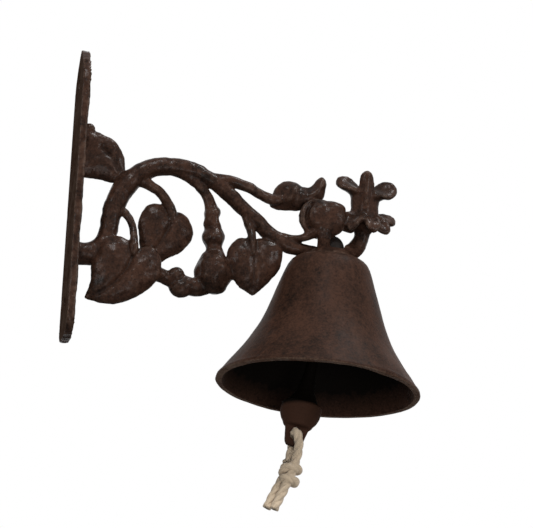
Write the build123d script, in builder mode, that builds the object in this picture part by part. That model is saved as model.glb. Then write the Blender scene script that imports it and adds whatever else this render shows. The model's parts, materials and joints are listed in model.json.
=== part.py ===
from build123d import *
import os
from math import cos, radians, sin, tan

# Cast iron wall bell on a vine bracket. Millimetres, +Z up, +X away from the wall.
# The origin is the centre of the wall plate's back face.

# Wall plate
plate_height = 161.0
plate_width = 33.0
plate_thick = 3.4
plate_rim = 3.2
plate_recess = 1.0
plate_edge = 0.7
plate_arch = 23.0
plate_arch_bulge = 2.0
plate_foot_radius = 8.0
screw_spacing = 122.0
screw_hole_radius = 2.5
screw_head_radius = 4.0

# Vine
reach = 141.1
drawn_reach = 141.1
stem_radius = 4.9
arm_radius = 4.0
branch_radius = 2.7
tendril_radius = 1.9
bud_stem_radius = 3.2
twig_radius = 3.5
twig_knobs = [(58.4, -41.2, 4.5), (61.6, -47, 5.0), (70, -45, 4.4)]
peg_radius = 5.8
leaf_thick = 3.4
leaf_dome = 46.0
bud_dome = 18.0
vein_width = 1.6
vein_depth = 0.8
flower_radius = 7.4
flower_foot_radius = 5.8
flower_dish = 3.0
petal_count = 4
petal_width = 11.0
petal_thick = 3.0
petal_rise = 8.6
petal_curl = 6.6
petal_tip_radius = 4.8
sepal_count = 5
sepal_reach = 13.5
sepal_width = 10.0
sepal_thick = 2.8

# Bell and the pad that it hangs under
bell_lean = 2.0
crown_z = -23.0
bell_height = 72.0
mouth_radius = 55.0
shoulder_radius = 22.2
shoulder_drop = 5.0
crown_radius = 15.5
bell_wall = 3.6
crown_wall = 4.4
lip_height = 1.6
lip_bevel = 0.6
pad_thick = 4.6
pad_radius = 14.5
pad_top_radius = 9.0

# Eye bolt, washer and nut
bolt_radius = 3.9
bolt_gap = 0.3
thread_gap = 0.05
washer_radius = 9.0
washer_thick = 1.6
collar_radius = 5.4
collar_thick = 1.5
nut_radius = 6.8
nut_height = 9.0
thread_depth = 6.4
nut_skirt = 3.0
nut_seat_gap = 0.8
eye_ring_radius = 5.0
eye_wire = 2.0
eye_sink = 0.8

# Link and clapper
hang_gap = 0.25
link_wire = 1.5
link_ring_radius = 4.2
link_length = 12.0
clapper_lean = 9.7
loop_ring_radius = 4.5
loop_wire = 1.75
shaft_radius = 3.1
shaft_end = 36.0
striker_radius = 10.9
striker_top = 56.5
striker_foot = 61.0
taper_end = 68.6
taper_radius = 6.4
tail_thick = 4.0
tail_end_radius = 4.4
tail_eye_drop = 1.3
tail_eye_radius = 3.0
tail_eye_length = 1.2
tail_web = 2.6

# Rope
rope_radius = 2.4
rope_leg_gap = 0.4
rope_sag = 0.7
knot_radius = 5.4


def vine(x, z, y=0.0):
    """A point of the vine, drawn for one reach and stretched to the reach that is set."""
    return (x * reach / drawn_reach, y, z)


def corner_radii(points):
    """The largest radius at each corner that its two runs allow."""
    spots = [Vector(*p) for p in points]
    radii = []
    for a, b, c in zip(spots, spots[1:], spots[2:]):
        shorter = min((b - a).length, (c - b).length)
        half_turn = radians((b - a).get_angle(c - b)) / 2
        radii.append(0.45 * shorter / tan(half_turn))
    return radii


def tube(points, radius, round_ends=True):
    """A round bar along straight runs and tangent arcs."""
    with BuildPart() as made:
        with BuildLine() as route:
            FilletPolyline(*points, radius=corner_radii(points))
        with BuildSketch(Plane(origin=route.line @ 0, z_dir=route.line % 0)):
            Circle(radius)
        sweep(path=route.line)
        if round_ends:
            with Locations(points[0], points[-1]):
                Sphere(radius)
    return made.part


def stem(points, radius):
    return tube([vine(*p) for p in points], radius)


def leaf(one_side, other_side, vein, y=0.0, dome=leaf_dome):
    """A leaf domed towards the front, from its notch to its tip and back, with a grooved vein."""
    there = [vine(*p)[::2] for p in one_side]
    back = [vine(*p)[::2] for p in other_side]
    edge = there + back
    middle_x = sum(p[0] for p in edge) / len(edge)
    middle_z = sum(p[1] for p in edge) / len(edge)
    front = (middle_x, y + dome - leaf_thick, middle_z)
    behind = Plane.XZ.offset(-y - 2 * leaf_thick)
    with BuildSketch(behind) as blade:
        with BuildLine():
            Spline(*there, back[0])
            Spline(*back, there[0])
        make_face()
    with BuildPart() as groove_floor:
        extrude(blade.sketch, amount=5 * leaf_thick)
        with Locations(front):
            Sphere(dome - vein_depth, mode=Mode.INTERSECT)
    with BuildPart() as made:
        extrude(blade.sketch, amount=5 * leaf_thick)
        with Locations(front):
            Sphere(dome, mode=Mode.INTERSECT)
        with BuildSketch(behind):
            with BuildLine():
                Spline(*[vine(*p)[::2] for p in vein])
            trace(line_width=vein_width)
        extrude(amount=5 * leaf_thick, mode=Mode.SUBTRACT)
        add(groove_floor.part)
        with Locations((middle_x, y + dome, middle_z)):
            Sphere(dome, mode=Mode.SUBTRACT)
    return made.part


def inward(points, wall):
    """An outline's points, each moved in by the wall at right angles to the outline."""
    moved = []
    for i, (r, h) in enumerate(points):
        before = points[max(i - 1, 0)]
        after = points[min(i + 1, len(points) - 1)]
        run = Vector(after[0] - before[0], after[1] - before[1]).normalized()
        moved.append((r - run.Y * wall, h + run.X * wall))
    return moved


# Where the bell hangs: the pad's underside, leaning with the bell
seat = Plane(
    origin=(reach, 0, crown_z),
    x_dir=(cos(radians(bell_lean)), 0, -sin(radians(bell_lean))),
    z_dir=(sin(radians(bell_lean)), 0, cos(radians(bell_lean))),
)
washer_top = -crown_wall
collar_top = washer_top - washer_thick
eye_centre = collar_top - collar_thick - eye_ring_radius - eye_wire + eye_sink
eye_bottom = eye_centre - eye_ring_radius
link_top = eye_bottom + eye_wire + link_wire + hang_gap
link_bottom = link_top - link_length
pivot = seat.from_local_coords(Vector(0, 0, link_bottom))
hang = Plane(
    origin=pivot,
    x_dir=(cos(radians(clapper_lean)), 0, -sin(radians(clapper_lean))),
    z_dir=(sin(radians(clapper_lean)), 0, cos(radians(clapper_lean))),
)

# Peg, stems, branches and twig of the vine
stems = [
    stem([(2, -33.3), (8, -33.6), (13, -33)], peg_radius),
    stem([(5, -33.3), (14, -32.5), (20.5, -24), (22, -11.8), (24.6, 0), (33, 13),
          (44, 18.6), (55, 19.8), (66, 17.6), (75, 14.6)], stem_radius),
    stem([(62, 18.4), (75, 14.8), (92.5, 0.6), (109, -13.3), (120, -17.4), (132, -20.2)], arm_radius),
    stem([(33, 12), (42.3, 7.6), (47.3, 4.8), (51.4, 0.2), (54.4, -6, 1)], branch_radius),
    stem([(20, -6), (27.5, -7.6, -1), (31.5, -12, -2), (33.9, -19.5, -3), (34.6, -32, -5)], tendril_radius),
    stem([(58, 19), (64, 16.6), (70.6, 10), (74.2, 2.5), (75.8, -6)], branch_radius),
    stem([(76, 14.6), (87.9, 14.9), (94.5, 13.3), (101.1, 10.1), (107.3, 7.3), (115, 8)], branch_radius),
    stem([(95.5, -2), (97.6, -10, -1), (98.5, -20, -3)], branch_radius),
    stem([(46, -40.5), (54.5, -42.6), (61, -44.8), (69.2, -44.6), (78, -41)], twig_radius),
    stem([(113, -14), (119, -14.2, -1.5), (127, -13.6, -4.5), (134, -10, -7)], branch_radius),
    stem([(135.8, -21, -8), (135.6, -14, -8.5), (135, -6, -8)], bud_stem_radius),
    stem([(148.5, -20.4), (153.8, -16.4), (157, -10.8), (157.8, -3)], arm_radius),
]

# Leaves, each from its notch to its tip and back
leaves = [
    leaf([(2.2, 37.6), (9.4, 35), (20.4, 29.9), (26.7, 23.8)], [(28.2, 13), (20, 8), (2.2, 10)],
         vein=[(11, 27), (17, 23.4), (24, 15.4)]),
    leaf([(54.3, -4.4), (49.3, -1.2), (42.8, -1.8), (38, -8), (37.8, -18), (41, -27.5)],
         [(48, -34), (57, -28), (63.6, -22), (65.8, -14.5), (61.2, -5.6)],
         vein=[(54.2, -6), (53.4, -12), (50.4, -20.4), (47.2, -28)], y=1.5),
    leaf([(36.4, -27.6), (25, -22.8), (16.5, -27.5), (13.2, -38), (13.8, -51)],
         [(11, -58.2), (23, -59.8), (36.5, -55), (47, -45.5), (49.2, -35), (43.6, -28)],
         vein=[(34.4, -31), (33, -36.4), (29.2, -44), (22.4, -52), (15.6, -56.4)], y=-5),
    leaf([(98.4, -14.6), (92, -16.2), (86.4, -22), (86.6, -33), (92, -42)],
         [(100.5, -46.6), (108.7, -38), (114, -28.5), (113.4, -19.5), (106, -14.6)],
         vein=[(98.6, -18), (98.9, -25), (99.6, -34), (100.3, -42)], y=-3),
    leaf([(108, 5), (109.4, 14), (117, 18.9), (127, 16), (133.6, 21.6)],
         [(135.9, 18), (134.4, 9.6), (123, 3.8), (112, 3.4)],
         vein=[(113, 9), (120, 11), (127, 12), (132, 16)], y=-1.5, dome=2 * bud_dome),
    leaf([(127, -10.4), (123.9, -2), (126, 5.4), (133.5, 9.6), (143, 7.6)],
         [(150.4, 2.2), (147.4, -5), (142.4, -9.8), (135, -11.4)],
         vein=[(128, 5), (126.8, 0.6), (127.6, -4.4), (130.4, -8)], y=-9, dome=bud_dome),
]

# Seed pod: beads on a stalk and a bulb at its end, hanging from the arch
pod_outline = [(2.9, 4), (3.9, -2), (3.4, -5.6), (4.2, -9.4), (4.0, -12), (5.1, -16.4), (4.5, -23),
               (4.9, -27), (8.4, -32), (9.3, -38.2), (7.6, -43.4)]
pod_foot = -47.6
with BuildPart() as pod:
    with BuildSketch(Plane(origin=vine(76.2, 0), x_dir=(1, 0, 0.07), z_dir=(0, -1, 0))):
        with BuildLine():
            Line((0, pod_outline[0][1]), pod_outline[0])
            Spline(*pod_outline, (0, pod_foot))
            Line((0, pod_foot), (0, pod_outline[0][1]))
        make_face()
    revolve(axis=Axis(vine(76.2, 0), (-0.07, 0, 1)))

# Lily: a cup with four petals that curl out and a collar of six sepals
lily_foot = -3.0
lily_brim = 13.0
lily = Plane(origin=vine(158, lily_foot), x_dir=(1, 0, 0), z_dir=(0, 0, 1))
cup_height = lily_brim - lily_foot
with BuildPart() as petal:
    with BuildSketch(Plane.XZ.offset(-petal_width / 2)):
        with BuildLine():
            inner = Spline((flower_radius - petal_thick, cup_height - 2),
                           (flower_radius, cup_height + petal_rise - 2),
                           (flower_radius + petal_curl, cup_height + petal_rise), tangents=[(0.15, 1), (1, -0.25)])
            outer = Spline((flower_radius - 0.6, cup_height - 2.6),
                           (flower_radius + 2, cup_height + petal_rise - 4.4),
                           (flower_radius + petal_curl, cup_height + petal_rise - petal_thick),
                           tangents=[(0.15, 1), (1, -0.25)])
            Line(inner @ 0, outer @ 0)
            Line(inner @ 1, outer @ 1)
        make_face()
    extrude(amount=petal_width)
    fillet(petal.faces().sort_by(Axis.X)[-1].edges().filter_by(Axis.Z), petal_tip_radius)
with BuildPart() as flower:
    with BuildSketch(Plane.XZ):
        with BuildLine():
            Line((0, 0), (flower_foot_radius, 0))
            side = Spline((flower_foot_radius, 0), (flower_radius, cup_height * 0.2),
                          (flower_radius - 0.4, cup_height * 0.6), (flower_radius + 0.8, cup_height))
            Polyline(side @ 1, (0, cup_height - flower_dish), (0, 0))
        make_face()
    revolve(axis=Axis.Z)
    with PolarLocations(0, petal_count):
        add(petal.part)
    with BuildSketch(Plane.XY):
        with PolarLocations(0, sepal_count, start_angle=180 / sepal_count):
            Polygon((0, -sepal_width / 2), (flower_radius, -sepal_width / 2), (sepal_reach, 0),
                    (flower_radius, sepal_width / 2), (0, sepal_width / 2), align=None)
    extrude(amount=sepal_thick)

# Bracket: plate, vine, leaves, pod, flower and pad in one casting
with BuildPart() as bracket:
    half_width = plate_width / 2
    tip_z = plate_height / 2
    arch_z = tip_z - plate_arch
    with BuildSketch(Plane.YZ):
        with BuildLine():
            Line((-half_width, -tip_z), (-half_width, arch_z))
            ThreePointArc((-half_width, arch_z),
                          (-half_width / 2 - plate_arch_bulge, arch_z + plate_arch / 2 + plate_arch_bulge),
                          (0, tip_z))
            ThreePointArc((0, tip_z),
                          (half_width / 2 + plate_arch_bulge, arch_z + plate_arch / 2 + plate_arch_bulge),
                          (half_width, arch_z))
            Polyline((half_width, arch_z), (half_width, -tip_z), (-half_width, -tip_z))
        outline = make_face()
        fillet(outline.vertices().group_by(Axis.Y)[0], plate_foot_radius)
    extrude(amount=plate_thick)
    chamfer(bracket.faces().sort_by(Axis.X)[-1].edges(), plate_edge)
    with BuildSketch(Plane.YZ.offset(plate_thick)):
        offset(bracket.faces().sort_by(Axis.X)[-1], amount=plate_edge - plate_rim)
    extrude(amount=-plate_recess, mode=Mode.SUBTRACT)
    with Locations(Plane.YZ.offset(plate_thick - plate_recess)):
        with GridLocations(0, screw_spacing, 1, 2):
            CounterSinkHole(screw_hole_radius, screw_head_radius)
    add(stems)
    add(leaves)
    for x, z, size in twig_knobs:
        with Locations(vine(x, z)):
            Sphere(size)
    add(pod.part)
    add(lily.location * flower.part)
    with Locations(seat):
        with Locations((0, 0, pad_thick / 2)):
            Cone(pad_radius, pad_top_radius, pad_thick)
        with Locations((0, 0, -pad_thick)):
            Cylinder(shoulder_radius, 2 * pad_thick, mode=Mode.SUBTRACT)
        with Locations((0, 0, pad_thick + nut_height)):
            Cylinder(nut_radius + nut_seat_gap, 2 * nut_height, mode=Mode.SUBTRACT)
        Cylinder(bolt_radius + bolt_gap, 6 * pad_thick, mode=Mode.SUBTRACT)
    split(bisect_by=Plane.YZ)
bracket.part.label = "bracket"

# Bell: a flared skirt, a rounded shoulder and a flat crown with the bolt's hole
flare = [(0.613, 0.26), (0.284, 0.561), (0.067, 0.843)]
skirt = [(shoulder_radius + (mouth_radius - shoulder_radius) * wide, bell_height * up) for wide, up in flare]
skirt = [(mouth_radius, lip_height), *skirt, (shoulder_radius, bell_height - shoulder_drop)]
skirt_inside = inward(skirt, bell_wall)
crown_inside = bell_height - crown_wall
with BuildPart() as bell:
    with BuildSketch(Plane.XZ):
        with BuildLine():
            outside = Spline(*skirt)
            RadiusArc(skirt[-1], (crown_radius, bell_height), -(shoulder_drop + 2.5))
            Polyline((crown_radius, bell_height), (0, bell_height), (0, crown_inside),
                     (crown_radius - bell_wall / 2, crown_inside))
            RadiusArc((crown_radius - bell_wall / 2, crown_inside), skirt_inside[-1], shoulder_drop)
            inside = Spline(*skirt_inside[::-1])
            Polyline(skirt_inside[0], (skirt_inside[0][0], 0), (mouth_radius - lip_bevel, 0),
                     (mouth_radius, lip_bevel), skirt[0])
        make_face()
    revolve(axis=Axis.Z)
    Cylinder(bolt_radius + bolt_gap, 4 * bell_height, mode=Mode.SUBTRACT)
bell.part = seat.location * Pos(0, 0, -bell_height) * bell.part
bell.part.label = "bell"

# Eye bolt: shank, collar and eye
with BuildPart() as eye_bolt:
    with Locations(seat):
        with Locations((0, 0, collar_top)):
            Cylinder(bolt_radius, pad_thick + thread_depth - bolt_gap - collar_top,
                     align=(Align.CENTER, Align.CENTER, Align.MIN))
            Cylinder(collar_radius, collar_thick, align=(Align.CENTER, Align.CENTER, Align.MAX))
        with Locations(Location((0, 0, eye_centre), (90, 0, 0))):
            Torus(eye_ring_radius, eye_wire)
eye_bolt.part.label = "eye_bolt"

with BuildPart() as crown_washer:
    with Locations(seat):
        with Locations((0, 0, washer_top)):
            Cylinder(washer_radius, washer_thick, align=(Align.CENTER, Align.CENTER, Align.MAX))
            Cylinder(bolt_radius + bolt_gap, 4 * washer_thick, mode=Mode.SUBTRACT)
crown_washer.part.label = "crown_washer"

# Dome nut: a short skirt under a domed cap, threaded blind
cap_height = nut_height - nut_skirt
cap_radius = (nut_radius**2 + cap_height**2) / (2 * cap_height)
with BuildPart() as dome_nut:
    with BuildSketch(Plane.XZ):
        with BuildLine():
            Polyline((0, nut_height), (0, 0), (nut_radius, 0), (nut_radius, nut_skirt))
            RadiusArc((nut_radius, nut_skirt), (0, nut_height), -cap_radius)
        make_face()
    revolve(axis=Axis.Z)
    Cylinder(bolt_radius + thread_gap, 2 * thread_depth, mode=Mode.SUBTRACT)
dome_nut.part = seat.location * Pos(0, 0, pad_thick) * dome_nut.part
dome_nut.part.label = "dome_nut"

# Link: a closed oval ring through the bolt's eye
half_run = link_length / 2 - link_ring_radius
with BuildPart() as clapper_link:
    with BuildLine() as oval:
        Line((link_ring_radius, -half_run), (link_ring_radius, half_run))
        RadiusArc((link_ring_radius, half_run), (-link_ring_radius, half_run), -link_ring_radius)
        Line((-link_ring_radius, half_run), (-link_ring_radius, -half_run))
        RadiusArc((-link_ring_radius, -half_run), (link_ring_radius, -half_run), -link_ring_radius)
    with BuildSketch(Plane(origin=oval.line @ 0, z_dir=oval.line % 0)):
        Circle(link_wire)
    sweep(path=oval.line)
link_middle = (link_top + link_bottom) / 2
clapper_link.part = seat.location * Pos(0, 0, link_middle) * Rot(0, 0, 90) * Rot(90, 0, 0) * clapper_link.part
clapper_link.part.label = "clapper_link"

# Clapper: loop, flared shaft, striker and flat tail with the rope's eye
loop_centre = loop_ring_radius - link_wire - loop_wire - hang_gap
shaft_top = loop_centre + loop_ring_radius
tail_eye = taper_end + tail_eye_drop + tail_eye_radius
tail_end = tail_eye + tail_eye_length + tail_eye_radius + tail_web
with BuildPart() as clapper:
    with BuildSketch(Plane.XZ):
        with BuildLine():
            Polyline((0, -shaft_top), (shaft_radius - 1, -shaft_top), (shaft_radius, -shaft_end))
            Spline((shaft_radius, -shaft_end), (striker_radius * 0.5, -striker_top * 0.84),
                   (striker_radius, -striker_top), tangents=[(0.05, -1), (0.7, -1)])
            Polyline((striker_radius, -striker_top), (striker_radius, -striker_foot),
                     (taper_radius, -taper_end), (0, -taper_end), (0, -shaft_top))
        make_face()
    revolve(axis=Axis.Z)
    with BuildSketch(Plane.XZ.offset(-tail_thick / 2)):
        with BuildLine():
            Polyline((-taper_radius, -taper_end), (taper_radius, -taper_end),
                     (tail_end_radius, -tail_end), (-tail_end_radius, -tail_end), (-taper_radius, -taper_end))
        outline = make_face()
        fillet(outline.vertices().group_by(Axis.Y)[0], tail_end_radius * 0.75)
        with Locations((0, -tail_eye - tail_eye_length / 2)):
            SlotOverall(2 * tail_eye_radius + tail_eye_length, 2 * tail_eye_radius, rotation=90,
                        mode=Mode.SUBTRACT)
    extrude(amount=tail_thick)
    with Locations(Location((0, 0, -loop_centre), (90, 0, 0))):
        Torus(loop_ring_radius, loop_wire)
clapper.part = hang.location * clapper.part
clapper.part.label = "clapper"

# Rope: one cord through the clapper's eye, with both legs going into the knot
rope_eye = hang.from_local_coords(Vector(0, 0, -tail_eye - rope_sag))
leg_y = tail_thick / 2 + rope_leg_gap + rope_radius


def below_eye(dx, y, dz):
    return (rope_eye.X + dx, y, rope_eye.Z + dz)


rope_points = [
    below_eye(-9.6, -2.5, -41.6),
    below_eye(-7.4, -2.4, -35),
    below_eye(-4.4, -2.5, -28.6),
    below_eye(-2.2, -2.5, -21.6),
    below_eye(-0.4, -3.2, -15.2),
    below_eye(1.7, -leg_y, -9.8),
    below_eye(0, -leg_y, 0),
    below_eye(0, leg_y, 0),
    below_eye(-1.2, leg_y, -9.8),
    below_eye(-1.8, 3.2, -15.4),
    below_eye(-3, 2.5, -21.6),
    below_eye(-5.6, 2.5, -28.4),
    below_eye(-9.2, 2.4, -34.4),
    below_eye(-12, 2.5, -40.6),
]
pull_rope = BuildPart()
pull_rope.part = tube(rope_points, rope_radius, round_ends=False)
pull_rope.part.label = "pull_rope"

# Knot: the lump in which the two legs are tied
with BuildPart() as rope_knot:
    knot_top = Vector(*below_eye(-1, 0, -16.6))
    knot_foot = Vector(*below_eye(-4.4, 0, -24.4))
    with BuildLine() as knot_core:
        Line(knot_top, knot_foot)
    with BuildSketch(Plane(origin=knot_top, z_dir=knot_core.line % 0)):
        Circle(knot_radius)
    sweep(path=knot_core.line)
    with Locations(knot_top, knot_foot):
        Sphere(knot_radius)
rope_knot.part.label = "rope_knot"

os.makedirs("parts", exist_ok=True)
for piece in (bracket, bell, eye_bolt, crown_washer, dome_nut, clapper_link, clapper, pull_rope, rope_knot):
    export_step(piece.part, "parts/" + piece.part.label + ".step")
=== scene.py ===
import json
import math

import bmesh
import bpy
import numpy as np
from mathutils import Matrix, Vector, noise

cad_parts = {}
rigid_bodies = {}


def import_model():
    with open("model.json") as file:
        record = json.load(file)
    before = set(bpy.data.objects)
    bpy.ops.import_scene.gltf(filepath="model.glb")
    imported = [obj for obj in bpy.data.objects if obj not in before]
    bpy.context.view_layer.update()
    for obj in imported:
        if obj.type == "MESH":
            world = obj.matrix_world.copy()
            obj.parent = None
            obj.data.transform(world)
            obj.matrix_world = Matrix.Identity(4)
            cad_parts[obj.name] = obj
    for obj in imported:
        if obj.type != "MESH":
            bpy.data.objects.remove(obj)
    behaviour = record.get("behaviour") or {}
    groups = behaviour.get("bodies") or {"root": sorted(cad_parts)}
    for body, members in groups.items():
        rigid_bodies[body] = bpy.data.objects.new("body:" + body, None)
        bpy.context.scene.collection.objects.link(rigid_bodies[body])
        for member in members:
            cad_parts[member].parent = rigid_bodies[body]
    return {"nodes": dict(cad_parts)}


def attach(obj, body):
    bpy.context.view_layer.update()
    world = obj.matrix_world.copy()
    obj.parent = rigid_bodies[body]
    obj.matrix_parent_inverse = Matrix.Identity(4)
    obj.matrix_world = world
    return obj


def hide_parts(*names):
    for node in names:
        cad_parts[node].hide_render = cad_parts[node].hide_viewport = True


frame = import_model()

bl_info = {
    "name": "Cast iron wall bell",
    "version": (1, 0, 0),
    "blender": (4, 5, 0),
    "location": "View3D > Sidebar > Wall bell",
    "description": "Makes the vine bracket, bell, clapper and rope of a cast iron wall bell",
    "category": "Object",
}

# Places are drawn in millimetres from the centre of the plate's back face: X away from the
# wall, Z up. finished() turns them into metres.
MM = 0.001

BELL_LEAN = math.radians(2.0)
CLAPPER_LEAN = math.radians(9.7)
BELL_SEAT = Matrix.Translation((141.1, 0, -23)) @ Matrix.Rotation(BELL_LEAN, 4, "Y")
CLAPPER_PIVOT = BELL_SEAT @ Vector((0, 0, -26.95))
CLAPPER_HANG = Matrix.Translation(CLAPPER_PIVOT) @ Matrix.Rotation(CLAPPER_LEAN, 4, "Y")
ROPE_EYE = CLAPPER_HANG @ Vector((0, 0, -73.6))

# Widths of the faces in a leaf's and the clapper's skin, and what easing takes off the vine
LEAF_SKIN, CLAPPER_SKIN, EASED_OFF = 0.62, 0.55, 0.28
PLATE_RIM, PLATE_RECESS, PLATE_FOOT = 3.2, 1.0, 8
SCREW_HEIGHT = 61
PAD_RADIUS, PAD_TOP_RADIUS = 14.6, 8.8
LILY_PLACE = (157.9, 0, -1.4)
POD_PLACE = Matrix.Translation((76.3, 0, 0)) @ Matrix.Rotation(math.radians(-3.6), 4, "Y")
MOUTH_RADIUS, BELL_HEIGHT, BOLT_HOLE = 55, 72, 4.3
CROWN_INSIDE, LIP_TOP = 67.8, 1.2
WAVER_ROOM = 0.997  # keeps the wavering mouth inside the drawn one
STRAND_RADIUS, STRAND_ORBIT = 0.35, 0.18  # as shares of the rope's thickness
KNOT_THICK, KNOT_TWIST = 5.2, 16.0

# Stems: places along each as (X, Z) or (X, Z, Y), and its radius at each place
STEMS = {
    "peg": (
        [(2, -33.3), (8, -33.3), (13, -33)],
        [6.6, 5.7, 6.2]),
    "arch": (
        [(12, -33), (17.5, -28), (21, -19), (21.8, -11), (24.2, -2), (28.4, 6.6), (33, 12.4),
         (43, 18.4), (54, 20), (65, 18.8), (75, 14.4)],
        [5.6, 5.2, 4.8, 4.8, 5.6, 6.0, 5.4, 4.8, 4.8, 4.5, 4.1]),
    "arm": (
        [(62, 19.2), (74, 15.0), (84, 8.2), (92.5, 1.0), (100.2, -5.4), (109, -12.8), (117, -17),
         (125, -18.9), (134, -20.4)],
        [4.2, 4.1, 4.0, 3.9, 3.9, 4.1, 3.9, 3.6, 3.8]),
    "second leaf": (
        [(30, 10), (37, 10.4), (42.6, 8), (48, 4.2), (52, -0.6, 0.4), (54.4, -6.4, 1), (54.4, -12, 1)],
        [3.8, 3.0, 2.7, 2.6, 2.6, 2.8, 1.6]),
    "third leaf": (
        [(20.5, -5.4), (25.4, -6.6, -1), (29.6, -9.6, -2), (32.6, -15, -3), (34.2, -22, -4.4),
         (34.4, -28.5, -6.6), (34, -33, -7.4)],
        [2.8, 2.0, 1.8, 1.85, 2.0, 2.4, 1.4]),
    "pod": (
        [(56, 18.6), (61, 16.4), (66.4, 12.2), (69.8, 9.0), (72.4, 6.2), (74.0, 3.2), (75.2, -1.6),
         (76.2, -8)],
        [3.6, 3.0, 2.7, 2.7, 2.7, 2.9, 3.3, 3.6]),
    "bud branch": (
        [(74, 15.4), (82, 15.6), (88.5, 14.8), (94.6, 13), (101, 10), (107, 7.6, -0.6),
         (113, 7.6, -1)],
        [3.4, 3.1, 2.9, 2.7, 2.6, 2.9, 2.3]),
    "fourth leaf": (
        [(94.6, -1.6), (96.2, -7, -0.6), (97.2, -12, -2), (98.0, -18, -4), (98.6, -26, -5.4)],
        [3.4, 2.8, 2.3, 2.1, 1.2]),
    "twig": (
        [(46, -40, -2), (52, -41.4), (58.4, -43.2), (65, -45), (72, -45.2), (79, -41.5)],
        [3.9, 3.7, 4.6, 5.0, 4.7, 4.8]),
    "round leaf": (
        [(109, -11.6), (114.6, -13.1, -1), (120, -13.5, -2.4), (125.4, -13.2, -4.2), (132, -9.6, -7)],
        [2.8, 2.2, 1.7, 1.9, 2.8]),
    "short": (
        [(136, -22, -8), (135.9, -16, -8.5), (135.4, -10, -8.8), (134.8, -5, -8)],
        [3.8, 3.2, 3.3, 3.8]),
    "lily": (
        [(145, -20.4), (150.4, -18.4), (154.6, -15), (157, -10.4), (157.9, -3)],
        [5.0, 4.6, 4.2, 3.9, 4.0]),
    "round leaf's rib": (
        [(129.6, 3.6, -9.6), (128.2, -1.6, -10.4), (129.4, -7.0, -9.6)],
        [0.9, 1.2, 0.8]),
    "lily's bridge": (
        [(138, -2.6, -8), (145, -2.4, -5), (152, -2.6, -2)],
        [5.0, 4.4, 4.6]),
}

# Rounded lumps: middle as (X, Z, Y), and half sizes
LUMPS = {
    "twig, upper knob": ((58.6, -40.4, -0.8), (4.6, 4.6, 4.4)),
    "twig, lower knob": ((61.6, -47.2, -1.0), (6.2, 4.8, 4.9)),
    "twig, last knob": ((69.6, -45.4, -0.8), (5.0, 4.4, 4.9)),
    "first leaf's shoulder": ((7.4, 37.2, 0.6), (2.6, 2.4, 2.6)),
    "round leaf's back": ((138.8, -2.6, -8.0), (8.6, 4.6, 9.6)),
}

# Leaves: outline and middle vein as (X, Z), the number of the outline's sharp corner, the depth Y that
# the leaf stands at, and how deep its vein is in shares of the usual depth
LEAVES = {
    "first": dict(
        outline=[(1.6, 41.4), (6.9, 39.2), (8.9, 36.8), (14.8, 34.6), (20, 32.2), (24.6, 27.6),
                 (27.2, 20.6), (27.4, 13.2), (23.2, 9.2), (13.4, 9.6), (6.8, 10.2), (1.6, 9.8)], tip=0,
        midrib=[(14.4, 26.6), (19.4, 21.6), (24, 15)],
        y=0.5, veined=0.8, crown=3.4, brim=8),
    "second": dict(
        outline=[(54.3, -4.4), (49.3, -1.2), (42.8, -1.8), (38.4, -6.6), (37, -14), (38.2, -21),
                 (39.6, -28), (48.2, -34.2), (54, -29.8), (61.4, -24.8), (65.6, -19), (66.3, -12.2),
                 (62, -5.8), (57.4, -3.8)], tip=7,
        midrib=[(54.2, -3), (53.6, -12), (50.6, -20), (46.6, -26.5)],
        y=1.2, veined=1.0, crown=4.2, brim=11, lean=(-0.05, 0.03)),
    "third": dict(
        outline=[(36.4, -28), (31, -24.2), (24.6, -22.4), (18, -24.6), (13.8, -31.6), (12.4, -40),
                 (13.2, -47), (10, -58.4), (18.5, -60.4), (26.5, -60.2), (34, -57.4), (41, -52.6),
                 (46.6, -47), (49.6, -38.6), (48.4, -31), (43, -27)], tip=7,
        midrib=[(34.6, -30), (33.4, -36), (29.4, -44), (23, -51.6), (12.6, -57.6)],
        y=-6.0, veined=1.15, crown=4.8, brim=12, lean=(0.02, -0.03)),
    "fourth": dict(
        outline=[(98.4, -15.8), (92, -16), (87.2, -19.8), (85.2, -27), (87, -34), (91.2, -41.6),
                 (96, -44.8), (100.5, -47.2), (103.6, -44.2), (108.9, -38), (113.4, -31.6),
                 (114.9, -24.6), (112.8, -18.4), (106, -15.2)], tip=7,
        midrib=[(98.5, -16), (98.9, -24), (99.6, -34), (100.3, -44)],
        y=-3.4, veined=0.3, crown=4.8, brim=11),
    "bud": dict(
        outline=[(107.4, 5.4), (108.2, 10), (109.2, 13.7), (111.8, 17.3), (115.5, 19), (119.8, 18.8),
                 (124.2, 16.6), (128, 16.3), (131.4, 20.4), (133.7, 22.6), (136.2, 20.4),
                 (136, 15.1), (134.4, 9.2), (128.4, 5), (122.9, 3.3), (116.4, 3.2), (111, 3.2)], tip=9,
        midrib=[(120.6, 16.6), (119, 12.4), (117, 7.6)],
        y=-1.0, veined=0.0, crown=4.6, brim=7, lean=(0.16, 0.0), ridge=2.8),
    "round": dict(
        outline=[(123.3, 2.4), (122.5, -2.8), (123.9, -7.8), (127.6, -12), (133.6, -13.6),
                 (139.6, -13.4), (143.4, -9.6), (146.2, -3.2), (146.8, 1.2), (146.4, 5.2),
                 (144.4, 6.4), (140.5, 7.5), (135, 8.2), (129.4, 8.2), (125.4, 5.5)], tip=10,
        midrib=[(128.8, 5.4), (126.8, 1.6), (126.2, -2.8), (127.2, -7), (130.4, -10.4)],
        y=-8.6, veined=30 / 11, crown=4.4, brim=7),
}

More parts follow.
